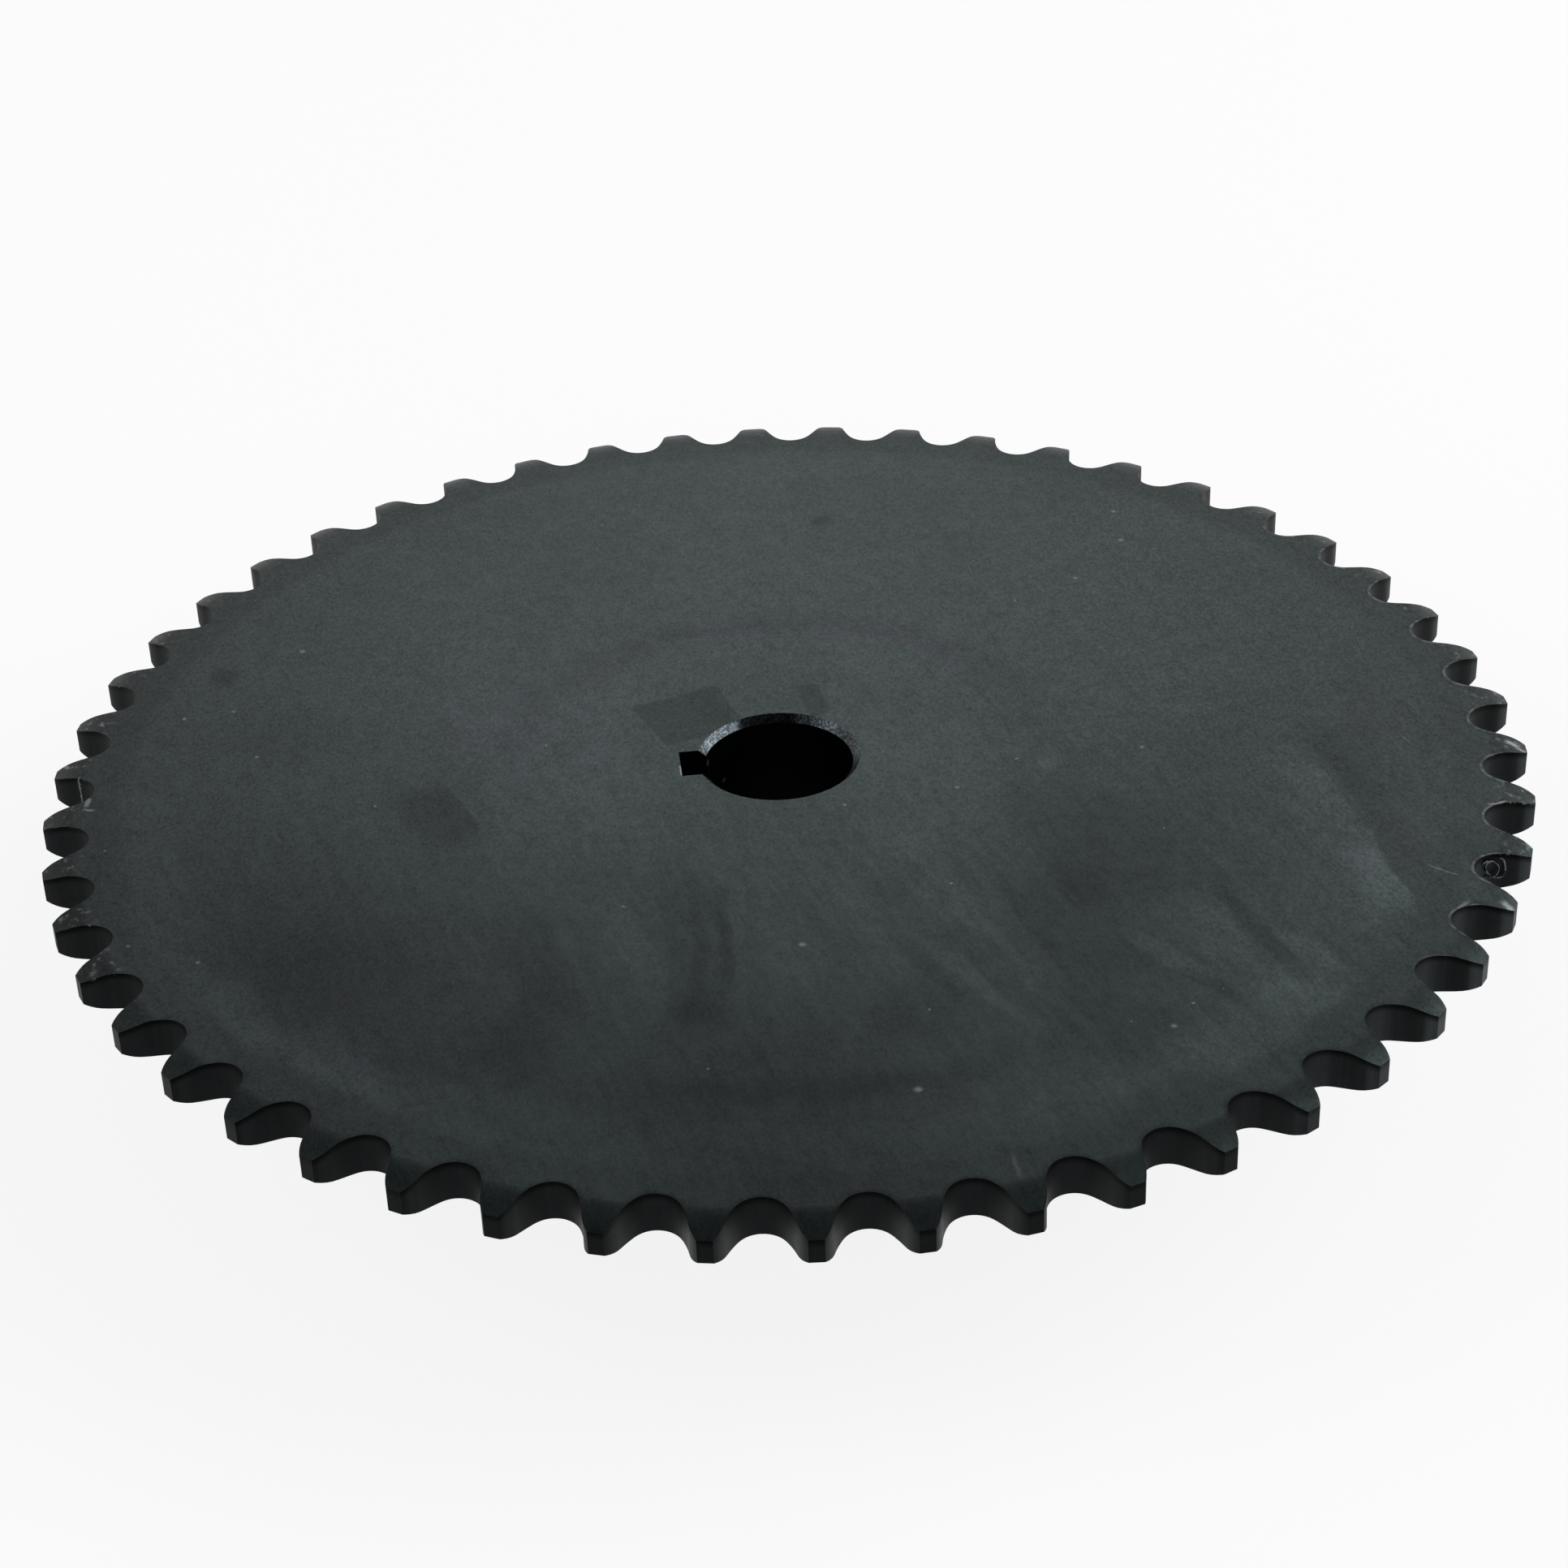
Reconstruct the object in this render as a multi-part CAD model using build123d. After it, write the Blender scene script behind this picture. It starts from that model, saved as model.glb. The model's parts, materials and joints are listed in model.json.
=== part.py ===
"""Roller-chain sprocket with a one-sided hub, bored and keyed for a shaft.

Millimetres. +Z is up, along the bore. The origin is on the bore's axis, in the hub's end
face, which the sprocket stands on. The keyway and one tooth lie towards -X.
"""
from build123d import *
import math
import os

# Chain
PITCH = 9.525               # from one roller's centre to the next (3/8 inch)
ROLLER_DIAMETER = 5.08      # the roller that seats in a gap (0.200 inch)
SEAT_CLEARANCE = 0.0381     # added to the seat's radius, as the standard has it (0.0015 inch)

# Toothed plate
TEETH = 50
PLATE_THICKNESS = 4.27      # 0.168 inch, narrower than the chain's inner links
TIP_TRIM = 0.2              # how far the crests are turned below the standard outside radius
SIDE_ROUNDING_WIDTH = 3.6   # radial width of the rounded sides of the teeth
SIDE_ROUNDING_DROP = 0.85   # how far that rounding falls from each face by the crest

# Hub
HUB_DIAMETER = 57.15        # 2 1/4 inch
LENGTH_THROUGH_BORE = 25.4  # from the hub's end face to the plate's outer face
HUB_EDGE_CHAMFER = 1.0
HUB_ROOT_BEVEL = 1.4        # legs of the 45 degree cone in the corner of hub and plate

# Bore and keyway
BORE_DIAMETER = 15.875      # 5/8 inch
BORE_CHAMFER = 0.75
KEYWAY_WIDTH = 4.7625       # for a 3/16 inch key
KEYWAY_DEPTH = 2.55         # from the crown of the bore to the keyway's floor

# Set screws, half-way up the hub: one over the keyway, one a quarter turn from it
SCREW_DIAMETER = 6.35       # 1/4 inch, drawn at the thread's outside diameter
SCREW_RECESS = 3.0          # from the hub's surface in to the screw's outer end
SCREW_TIP_GAP = 2.4         # from the screw's tip in to the keyway's floor
SCREW_END_CHAMFER = 0.6     # at the socket's end
SCREW_HOLE_COUNTERSINK = 0.5
SOCKET_ACROSS_FLATS = 3.175
SOCKET_DEPTH = 4.0
SCREW_POINT_DIAMETER = 3.6

OVERCUT = 1.0               # how far a cutter runs past the face that it starts from

# Worked out from the sizes above
half_tooth = math.pi / TEETH
pitch_radius = PITCH / (2 * math.sin(half_tooth))
outside_radius = PITCH / 2 * (0.6 + 1 / math.tan(half_tooth)) - TIP_TRIM
hub_radius = HUB_DIAMETER / 2
bore_radius = BORE_DIAMETER / 2
keyway_floor = bore_radius + KEYWAY_DEPTH
plate_back = LENGTH_THROUGH_BORE - PLATE_THICKNESS
screw_radius = SCREW_DIAMETER / 2
screw_length = hub_radius - keyway_floor - SCREW_RECESS - SCREW_TIP_GAP


def turned_blank():
    """The hub and the plate as they come off the lathe, bored, before the teeth are cut."""
    top = LENGTH_THROUGH_BORE
    side_start = outside_radius - SIDE_ROUNDING_WIDTH
    with BuildPart() as blank:
        with BuildSketch(Plane.XZ):
            with BuildLine():
                Polyline(
                    (bore_radius, BORE_CHAMFER),
                    (bore_radius + BORE_CHAMFER, 0),
                    (hub_radius - HUB_EDGE_CHAMFER, 0),
                    (hub_radius, HUB_EDGE_CHAMFER),
                    (hub_radius, plate_back - HUB_ROOT_BEVEL),
                    (hub_radius + HUB_ROOT_BEVEL, plate_back),
                    (side_start, plate_back),
                )
                TangentArc(
                    (side_start, plate_back),
                    (outside_radius, plate_back + SIDE_ROUNDING_DROP),
                    tangent=(1, 0),
                )
                Line(
                    (outside_radius, plate_back + SIDE_ROUNDING_DROP),
                    (outside_radius, top - SIDE_ROUNDING_DROP),
                )
                TangentArc(
                    (side_start, top),
                    (outside_radius, top - SIDE_ROUNDING_DROP),
                    tangent=(1, 0),
                )
                Polyline(
                    (side_start, top),
                    (bore_radius + BORE_CHAMFER, top),
                    (bore_radius, top - BORE_CHAMFER),
                    (bore_radius, BORE_CHAMFER),
                )
            make_face()
        revolve(axis=Axis.Z)
    return blank.part


def gap_outline():
    """One gap between teeth, open outwards: the standard form for a roller chain.

    It is drawn about the roller's centre, which lies on +Y at the pitch radius. From the seat
    outwards each side is a working curve, a short straight and a topping curve, all tangent.
    """
    seat_angle = math.radians(35 + 60 / TEETH)
    working_angle = math.radians(18 - 56 / TEETH)
    straight_angle = math.radians(17 - 64 / TEETH)
    working_offset = 0.8 * ROLLER_DIAMETER  # of the working curve's centre from the roller's
    topping_offset = 1.4 * ROLLER_DIAMETER  # of the topping curve's centre from the roller's
    seat_radius = 0.5025 * ROLLER_DIAMETER + SEAT_CLEARANCE
    working_radius = seat_radius + working_offset
    topping_radius = (
        working_offset * math.cos(working_angle)
        + topping_offset * math.cos(straight_angle)
        - working_radius
    )
    straight = topping_offset * math.sin(straight_angle) - working_offset * math.sin(working_angle)

    def below(angle):
        """Unit vector to the right, turned down by the angle."""
        return Vector(math.cos(angle), -math.sin(angle))

    roller_centre = Vector(0, pitch_radius)
    working_centre = roller_centre - below(seat_angle) * working_offset
    topping_centre = roller_centre + below(half_tooth) * topping_offset

    end_angle = seat_angle - working_angle
    seat_bottom = roller_centre - Vector(0, seat_radius)
    seat_end = roller_centre + below(seat_angle) * seat_radius
    working_middle = working_centre + below(seat_angle - working_angle / 2) * working_radius
    working_end = working_centre + below(end_angle) * working_radius
    straight_end = working_end + Vector(math.sin(end_angle), math.cos(end_angle)) * straight

    # The topping curves of two neighbouring gaps meet at a point on the tooth's centre line,
    # above the height at which the crest is turned off.
    past_centre_line = topping_offset - PITCH / 2
    point_height = math.sqrt(topping_radius**2 - past_centre_line**2)
    point_radius = pitch_radius * math.cos(half_tooth) + point_height
    tooth_point = Vector(math.sin(half_tooth), math.cos(half_tooth)) * point_radius
    chord_middle = (straight_end + tooth_point) / 2
    topping_middle = topping_centre + (chord_middle - topping_centre).normalized() * topping_radius
    # Past that point the outline leans over the tooth, so that neighbouring gaps overlap there.
    outside = Vector(math.sin(2 * half_tooth), math.cos(2 * half_tooth)) * (point_radius + PITCH)

    def on_side(side, point):
        return Vector(side * point.X, point.Y)

    with BuildSketch() as gap:
        with BuildLine():
            ThreePointArc(on_side(-1, seat_end), seat_bottom, seat_end)
            for side in (1, -1):
                ThreePointArc(
                    on_side(side, seat_end),
                    on_side(side, working_middle),
                    on_side(side, working_end),
                )
                Line(on_side(side, working_end), on_side(side, straight_end))
                ThreePointArc(
                    on_side(side, straight_end),
                    on_side(side, topping_middle),
                    on_side(side, tooth_point),
                )
                Line(on_side(side, tooth_point), on_side(side, outside))
            Line(outside, on_side(-1, outside))
        make_face()
    return gap.sketch


def gap_cutters():
    """All the gaps, as tall solids round the axis, with a tooth between two of them at -X."""
    start = plate_back - OVERCUT
    with BuildPart() as cutters:
        with BuildSketch(Plane.XY.offset(start)):
            # The outline's gap lies on +Y: half a tooth past -X puts a tooth on -X itself.
            with PolarLocations(0, TEETH, start_angle=90 + math.degrees(half_tooth)):
                add(gap_outline())
        extrude(amount=PLATE_THICKNESS + 2 * OVERCUT)
    return cutters.part


def keyway_cutter():
    """A straight slot through the hub and the plate, broached from the bore towards -X."""
    slot = Box(
        keyway_floor,
        KEYWAY_WIDTH,
        LENGTH_THROUGH_BORE + 2 * OVERCUT,
        align=(Align.MAX, Align.CENTER, Align.MIN),
    )
    return Pos(0, 0, -OVERCUT) * slot


def screw_place(turn):
    """On the hub's surface, half-way up to the plate, with +Z pointing outwards."""
    return Rot(0, 0, turn) * Pos(hub_radius, 0, plate_back / 2) * Rot(0, 90, 0)


def screw_hole():
    """The tapped hole, from outside the hub in to the bore, with a countersunk mouth."""
    mouth_radius = screw_radius + SCREW_HOLE_COUNTERSINK
    with BuildPart() as hole:
        with BuildSketch(Plane.XZ):
            with BuildLine():
                Polyline(
                    (0, -hub_radius),
                    (screw_radius, -hub_radius),
                    (screw_radius, -SCREW_HOLE_COUNTERSINK),
                    (mouth_radius, 0),
                    (mouth_radius, OVERCUT),
                    (0, OVERCUT),
                    close=True,
                )
            make_face()
        revolve(axis=Axis.Z)
    return hole.part


def set_screw():
    """A hexagon-socket set screw with a blunt point; its socket end faces +Z."""
    outer = -SCREW_RECESS
    tip = outer - screw_length
    point_radius = SCREW_POINT_DIAMETER / 2
    with BuildPart() as screw:
        with BuildSketch(Plane.XZ):
            with BuildLine():
                Polyline(
                    (0, tip),
                    (point_radius, tip),
                    (screw_radius, tip + screw_radius - point_radius),
                    (screw_radius, outer - SCREW_END_CHAMFER),
                    (screw_radius - SCREW_END_CHAMFER, outer),
                    (0, outer),
                    close=True,
                )
            make_face()
        revolve(axis=Axis.Z)
        with BuildSketch(Plane.XY.offset(outer)):
            RegularPolygon(SOCKET_ACROSS_FLATS / 2, 6, major_radius=False)
        extrude(amount=-SOCKET_DEPTH, mode=Mode.SUBTRACT)
    return screw.part


SCREW_TURNS = {"keyway_set_screw": 180, "side_set_screw": 270}

sprocket = turned_blank() - gap_cutters() - keyway_cutter()
for turn in SCREW_TURNS.values():
    sprocket -= screw_place(turn) * screw_hole()

nodes = {"sprocket": sprocket}
for name, turn in SCREW_TURNS.items():
    nodes[name] = screw_place(turn) * set_screw()

os.makedirs("parts", exist_ok=True)
for name, solid in nodes.items():
    export_step(solid, f"parts/{name}.step")
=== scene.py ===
"""The looks of the chain sprocket: finishes, threads, light, floor and camera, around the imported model.

Metres, in the part's frame: +Z along the bore, the hub's end face on the floor at z = 0, the
keyway towards -X. Places on the steel are in millimetres from the bore's axis.
"""
import functools
import json
import math
from collections import namedtuple

import bmesh
import bpy
from mathutils import Matrix, Vector


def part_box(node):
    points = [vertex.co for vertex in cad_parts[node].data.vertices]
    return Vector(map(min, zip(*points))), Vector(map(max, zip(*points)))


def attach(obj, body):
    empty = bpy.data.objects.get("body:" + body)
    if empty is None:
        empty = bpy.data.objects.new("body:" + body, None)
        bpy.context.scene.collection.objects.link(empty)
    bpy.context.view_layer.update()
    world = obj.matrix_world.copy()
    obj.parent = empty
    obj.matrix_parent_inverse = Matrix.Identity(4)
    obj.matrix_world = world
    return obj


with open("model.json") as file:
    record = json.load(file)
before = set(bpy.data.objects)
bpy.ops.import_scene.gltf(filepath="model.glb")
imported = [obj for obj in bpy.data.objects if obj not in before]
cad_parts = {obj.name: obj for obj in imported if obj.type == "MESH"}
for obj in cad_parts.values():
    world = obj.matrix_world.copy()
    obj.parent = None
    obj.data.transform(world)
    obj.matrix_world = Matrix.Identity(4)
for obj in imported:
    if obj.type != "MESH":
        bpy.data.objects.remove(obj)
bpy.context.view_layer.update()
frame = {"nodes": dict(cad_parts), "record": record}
MM = 0.001

# Camera
IMAGE_SIZE = 1932
SENSOR_WIDTH = 36.0
FOCAL_LENGTH_PX = 4270.9
PRINCIPAL_X_PX = 780.1
PRINCIPAL_Y_PX = 972.9
CAMERA_AZIMUTH = -1.887         # degrees; 0 looks along +Y
CAMERA_ELEVATION = 32.696
CAMERA_ROLL = -3.883
CAMERA_DISTANCE = 365.08 * MM
CAMERA_TARGET = Vector((-15.84, -4.22, 25.4)) * MM

# Light: a white studio that dims towards its ceiling, and two soft lamps at its sides
WHITE_UP_TO = 24.0              # degrees above the floor
CEILING_FROM = 52.0
CEILING_STRENGTH = 0.18
FLOOR_SHADOW = 0.15             # how much of the floor's own shading the camera sees
FLOOR_GAP = 0.02 * MM           # keeps the floor from being in one plane with the hub's end face
FLOOR_HALF_WIDTH = 3.0
Lamp = namedtuple("Lamp", "name azimuth elevation distance size power")
LAMPS = [
    Lamp("key", 97, 33, 1.1, 0.9, 7.6),
    Lamp("fill", -92, 40, 1.1, 0.55, 1.9),
]

# Steel, mm from the bore's axis
MOUNTS = {mount["name"]: mount for mount in frame["record"]["mounts"]}
PLATE_FACE = MOUNTS["plate_face"]["pos_m"][2] / MM
OUTSIDE_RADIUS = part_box("sprocket")[1].x / MM
HUB_RADIUS = 28.575
TEETH = 50
HALF_TOOTH = math.pi / TEETH    # radians
PITCH = 9.525
PITCH_RADIUS = PITCH / (2 * math.sin(HALF_TOOTH))
SEAT_RADIUS = 2.578             # of the round bottom of a gap, about the chain roller's axis
TOOTH_ROOT_RADIUS = PITCH_RADIUS - SEAT_RADIUS
# The rounded sides of the teeth, as a parabola near enough for the edges' wear
ROUNDING_WIDTH = 3.6
ROUNDING_DROP = 0.85
ROUNDING_START = OUTSIDE_RADIUS - ROUNDING_WIDTH

# Where the finish and the painted shade change, mm from the bore's axis
BORE_REACH = 11.0               # the bore, its keyway and its chamfer lie inside this
WALLS_FROM = 61.0               # upright surfaces beyond this are the gaps' walls and teeth's ends
SHADED_BAND_FROM = 70.25       # painted shade: the face is a little darker from here to the teeth
HUB_DISC_RADIUS = 25.3          # the face is a little paler over the hub
HUB_LINE = (24.75, 25.05)       # with a fine dark line near the disc's edge
HUB_RING = (26.5, 30.5)         # and a darker ring around it,
HUB_VIOLET = (25.0, 29.0)       # which is violet at the back

# On the right, the gaps' edges are rolled over and a groove runs along them, neither of them in the
# geometry: a pale rim of bare steel that is partly a painted highlight, and a line of painted shade; mm
# from a roller's axis
ROLLED_EDGE = SEAT_RADIUS + 0.29
SEAT_GROOVE = (SEAT_RADIUS + 0.42, SEAT_RADIUS + 0.52)

# Stretches over which the finish and the painted light change, mm: from, to; R is the distance from the
# bore's axis
R_OF_WORN_TEETH = (73.4, 75.4)
R_OF_HIGHLIGHTED_ENDS = (77.0, 77.8)
R_OF_DARK_ENDS = (77.6, 78.3)
# painted shade on the bore's chamfer: in the middle of its back, and towards its right
X_OF_DARK_CHAMFER = (-3.6, 2.7)
X_OF_SHADED_CHAMFER = (-2.0, 6.0)
X_OF_SIDE_TEETH = (50.0, 68.0)
X_OF_RIGHT_TEETH = (52.0, 66.0)
X_OF_HIGHLIGHTED_TEETH = (30.0, 62.0)
X_OF_COARSE_GRAIN = (20.0, 55.0)
Y_OF_FRONT_TEETH = (-66.0, -20.0)
Y_OF_HANDLED_TEETH = (-42.0, -22.0)
Y_OF_STROKES = (-30.0, 30.0)
Y_OF_GRAIN = (-60.0, 20.0)
Y_OF_DARK_BAND = (-20.0, 40.0)
Y_OF_DARK_ROUNDING = (-65.0, -10.0)
Y_OF_HUB_RING = (-5.0, 20.0)
Y_OF_HUB_VIOLET = (8.0, 20.0)

# Colours, linear
FACE_COLOUR = (0.0535, 0.0690, 0.0690, 1)
VIOLET_COLOUR = (0.0575, 0.0668, 0.0738, 1)
# near-black: painted shade inside the bore
BORE_SHADE_COLOUR = (0.0030, 0.0036, 0.0040, 1)
BARE_COLOUR = (0.40, 0.42, 0.43, 1)
SCREW_WORN_COLOUR = (0.22, 0.22, 0.22, 1)
FLOOR_COLOUR = (0.95, 0.95, 0.95, 1)
WHITE = (1, 1, 1, 1)
# these are multiplied by a tone, and have no alpha
# the walls' near-black colour is painted shade, where they face away from the light
WALL_SHADED_COLOUR = (0.0096, 0.0110, 0.0115)
CHAMFER_COLOUR = (0.060, 0.072, 0.080)
SCREW_COLOUR = (0.070, 0.072, 0.075)
BURR_COLOUR = (0.085, 0.090, 0.095)

# How much lighter or darker the face is; where there are two, they are at a stretch's two ends
# painted light: the face is lighter towards the right and the back
PAINTED_LIGHT_SLOPE = (0.0021, 0.0012, 0.0)          # per mm in x and y
OUTWARD_TONE = -0.16                        # reached at the teeth's roots
# painted shade on the band before the teeth, and on the teeth's rounded sides
SHADED_BAND_TONES = (-0.11, -0.20)
ROUNDING_SHADE_TONES = (-0.20, -0.28)
HUB_DISC_TONE = 0.05
HUB_LINE_TONE = -0.24
HUB_RING_TONES = (-0.02, -0.16)
STAIN_TONE = -0.35
GROOVE_SHADE_TONE = -0.3
# painted shade along the gaps' edges in front
GAP_EDGE_SHADE = -0.35                       # at the edges of the gaps in front,
GAP_EDGE_WIDTH = 0.7                        # and gone at this many mm from them
DARKEST_TONE = 0.05                         # nothing on the face is darker than this share of its colour

# The face's fine texture: how quickly the cloth's strokes change per mm, across and along them, and
# how strong they and the grain are at their stretches' two ends
STROKES_ACROSS = (0.85, 0.22, 0.0)
STROKES_ALONG = 0.12
STROKE_STRENGTHS = (0.75, 0.30)
GRAIN_STRENGTHS = (1.05, 1.70)
COARSER_BESIDE = 0.55                       # how much stronger the grain is at the left and right

# The blackened steel's roughness and relief
LEAST_ROUGHNESS = 0.40
ROUGHNESS_SPREAD = 0.14
ROUGHER_WALLS = 0.10
SMOOTHER_CHAMFER = -0.16
RELIEF_STRENGTH = 0.35
RELIEF_DEPTH = 0.02 * MM
# and of the screws and the burr
FINE_RELIEF_STRENGTH = 0.3
FINE_RELIEF_DEPTH = 0.01 * MM

# A wiped mark on the plate's face: its middle, the direction it runs in (degrees), half its length
# and width, how much it bends towards its left, how gradually its left and right sides and its
# ends fade, and how much lighter or darker it is than the steel around it.
Smear = namedtuple("Smear", "x y turn length width bend left right ends tone")
SMEARS = [
    # two patches wiped clean of dust behind the bore
    Smear(-8.6, 9.6, 107, 4.8, 4.8, 0.0, 0.2, 0.2, 0.3, -0.42),
    Smear(-6.6, 11.2, 107, 3.9, 1.7, 0.0, 0.3, 0.3, 0.4, -0.12),
    Smear(4.9, 10.6, 101, 3.3, 1.15, 0.0, 0.2, 0.3, 0.3, -0.42),
    # the pale lobe to the left of the bore, and the dark patch that its edge cuts off
    Smear(-23.3, -2.0, 94, 17.0, 8.0, 0.008, 1.5, 6.0, 8.0, 0.15),
    Smear(-36.2, -6.0, 112, 5.5, 2.7, 0.020, 2.4, 0.2, 2.0, -0.34),
    # the broad dark field at the left, and its darkest places
    Smear(-50.5, -24.0, 102, 17.0, 8.5, 0.004, 4.0, 6.0, 8.0, -0.11),
    Smear(-27.6, -34.5, 101, 8.5, 3.0, 0.0, 3.0, 0.7, 2.5, -0.18),
    # brush strokes in front of the bore, and the pale steel on both sides of them
    Smear(-11.3, -33.0, 90, 13.0, 3.0, 0.008, 0.6, 0.8, 4.0, -0.15),
    Smear(-10.8, -30.0, 90, 13.0, 0.6, 0.010, 0.5, 0.5, 5.0, -0.12),
    Smear(-8.6, -33.0, 88, 7.5, 0.6, 0.0, 0.5, 0.2, 3.0, -0.24),
    Smear(-18.4, -31.5, 97, 9.0, 2.6, 0.0, 2.5, 0.8, 5.0, 0.16),
    Smear(-3.6, -35.0, 99, 9.5, 2.4, 0.0, 0.9, 3.0, 5.0, 0.14),
    # pale steel to the right of the bore, running down in streaks
    Smear(14.8, -9.0, 96, 13.0, 7.0, 0.0, 5.0, 1.4, 6.0, 0.14),
    Smear(14.0, -29.0, 109, 6.5, 2.2, 0.0, 2.5, 0.6, 3.0, 0.22),
    Smear(15.2, -44.5, 117, 7.5, 0.9, 0.0, 0.5, 0.4, 3.0, 0.27),
    Smear(10.6, -41.5, 112, 5.0, 0.7, 0.0, 0.4, 0.4, 2.0, -0.14),
    Smear(5.3, -33.0, 102, 8.5, 2.2, 0.0, 2.0, 0.9, 4.0, 0.16),
    Smear(18.5, -38.5, 112, 6.0, 0.7, 0.0, 0.4, 0.4, 2.5, 0.18),
    Smear(20.8, -46.5, 118, 7.0, 0.6, 0.0, 0.4, 0.4, 3.0, 0.14),
    Smear(0.0, -58.0, 0, 16.0, 1.7, 0.006, 1.5, 1.5, 6.0, -0.15),
    # the large dark patch at the right, cut into by pale and dark spikes
    Smear(30.2, -21.5, 97, 10.0, 6.4, 0.0, 1.6, 5.0, 4.0, -0.20),
    Smear(26.0, -35.5, 106, 9.0, 5.0, 0.0, 1.2, 2.5, 4.0, -0.20),
    Smear(38.8, -38.7, 90, 6.5, 1.9, 0.0, 0.4, 0.4, 3.0, 0.14),
    Smear(40.0, -40.4, 109, 9.2, 1.5, 0.0, 1.2, 0.2, 1.2, 0.12),
    Smear(43.2, -40.0, 108, 9.0, 1.0, 0.0, 0.2, 0.4, 1.5, -0.24),
    Smear(33.4, -42.0, 127, 6.0, 1.1, 0.0, 0.3, 0.4, 2.0, 0.24),
    Smear(36.4, -47.2, 128, 4.0, 0.7, 0.0, 0.3, 0.3, 1.5, -0.22),
    # the pale sickle near the right-hand teeth, with a dark strip along its outer edge
    Smear(55.0, -23.0, 97.5, 15.0, 2.6, 0.003, 4.0, 0.2, 4.0, 0.32),
    Smear(56.3, -32.0, 97, 5.5, 2.0, 0.0, 1.5, 0.2, 2.0, 0.34),
    Smear(59.1, -15.0, 98.0, 11.0, 1.9, 0.002, 0.3, 2.5, 4.0, -0.20),
    Smear(63.5, 3.0, 93, 11.0, 3.2, 0.0, 2.0, 2.5, 4.0, -0.06),
    # pale arcs where a cloth followed the rim, left and right
    Smear(-55.9, -38.0, 110, 6.0, 2.0, 0.0, 1.2, 1.3, 2.5, 0.18),
    Smear(-47.0, -47.8, 130, 6.5, 2.2, 0.0, 0.9, 1.6, 2.5, 0.18),
    Smear(-31.0, -56.8, 151, 11.0, 1.8, 0.004, 1.5, 1.7, 4.0, 0.15),
    Smear(-45.0, -49.5, -42, 24.0, 3.0, 0.0077, 3.0, 2.0, 8.0, 0.05),
    Smear(2.0, -65.3, 0, 24.0, 2.3, 0.0077, 1.5, 1.3, 6.0, 0.06),
    # the blackening is even over the front left teeth
    Smear(-50.8, -53.4, -43, 34.0, 6.0, 0.0070, 2.0, 3.0, 12.0, 0.20),
    Smear(40.5, -53.3, 37, 10.0, 3.6, 0.0077, 2.5, 1.3, 3.0, 0.27),
    Smear(47.3, -43.5, 115, 3.4, 1.0, 0.0, 0.6, 0.8, 1.2, 0.32),
    Smear(27.5, -59.3, 28, 6.0, 2.0, 0.006, 1.5, 1.2, 3.0, 0.16),
    # the outer left, and the back
    Smear(-66.0, -12.0, 97, 14.0, 3.4, 0.0, 2.0, 1.6, 5.0, 0.07),
    Smear(-63.9, -9.0, 100, 5.5, 0.35, 0.02, 0.3, 0.4, 2.0, 0.09),
    Smear(14.0, 64.0, 168, 15.0, 3.4, 0.007, 3.0, 2.5, 6.0, 0.09),
    Smear(-4.0, 27.6, 0, 8.0, 1.2, -0.018, 1.0, 1.0, 3.0, -0.10),
    # the steel around the burr, rubbed a little paler
    Smear(65.6, -34.6, 70, 3.4, 1.5, 0.0, 1.2, 1.2, 1.8, 0.20),
]

# A round stain or paler place that fades out: its middle, where it begins and ends to fade, its tone
Cloud = namedtuple("Cloud", "x y near far tone")
CLOUDS = [
    # painted light: the face is lighter around the back and darker at the front left
    Cloud(-8.0, 30.0, 10.0, 80.0, 0.36),
    Cloud(-60.0, -60.0, 8.0, 62.0, -0.17),
    # left
    Cloud(-18.0, 15.0, 1.0, 10.0, 0.08),
    Cloud(-51.0, -28.5, 1.0, 9.0, -0.06),
    Cloud(-40.0, -31.0, 3.0, 13.0, -0.06),
    Cloud(-30.0, -47.0, 1.0, 8.0, -0.15),
    Cloud(-53.5, 13.0, 2.0, 8.0, -0.15),
    Cloud(-33.0, 24.0, 3.0, 11.0, 0.08),
    Cloud(-60.0, 26.0, 0.8, 2.4, -0.36),
    # front
    Cloud(-12.4, -44.0, 0.5, 4.5, -0.17),
    Cloud(8.0, -47.5, 2.0, 6.5, -0.15),
    Cloud(11.2, -18.0, 1.0, 4.5, 0.16),
    # right
    Cloud(37.0, -27.0, 5.0, 16.0, -0.12),
    Cloud(24.5, -50.5, 1.0, 7.0, -0.14),
    Cloud(-6.0, -58.0, 6.0, 20.0, -0.18),
    Cloud(19.0, -62.0, 3.0, 9.0, 0.12),
    Cloud(66.0, -18.0, 4.0, 12.0, 0.12),
    Cloud(46.0, -34.0, 4.0, 22.0, 0.11),
    Cloud(43.6, -49.0, 1.0, 5.0, 0.18),
    Cloud(28.0, -5.8, 0.6, 2.0, 0.38),
    # back
    Cloud(0.0, 14.0, 3.0, 9.0, -0.08),
    Cloud(-17.0, 46.0, 2.0, 12.0, -0.09),
    Cloud(10.4, 51.3, 0.4, 2.0, -0.45),
    Cloud(25.0, 42.0, 0.4, 2.4, -0.14),
    Cloud(46.0, 46.0, 2.0, 9.0, 0.07),
    Cloud(42.0, 16.0, 6.0, 34.0, 0.07),
]

# Stains where the blackening is violet, as clouds are described; the tone is their strength
VIOLET_STAINS = [
    Cloud(-27.0, 9.0, 5.0, 14.0, 0.9),
    Cloud(-41.0, -42.0, 6.0, 20.0, 0.9),
    Cloud(-2.0, -62.0, 6.0, 22.0, 0.7),
    Cloud(65.0, -3.0, 2.0, 10.0, 0.7),
    Cloud(58.0, -26.0, 2.0, 9.0, 0.6),
]

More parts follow.
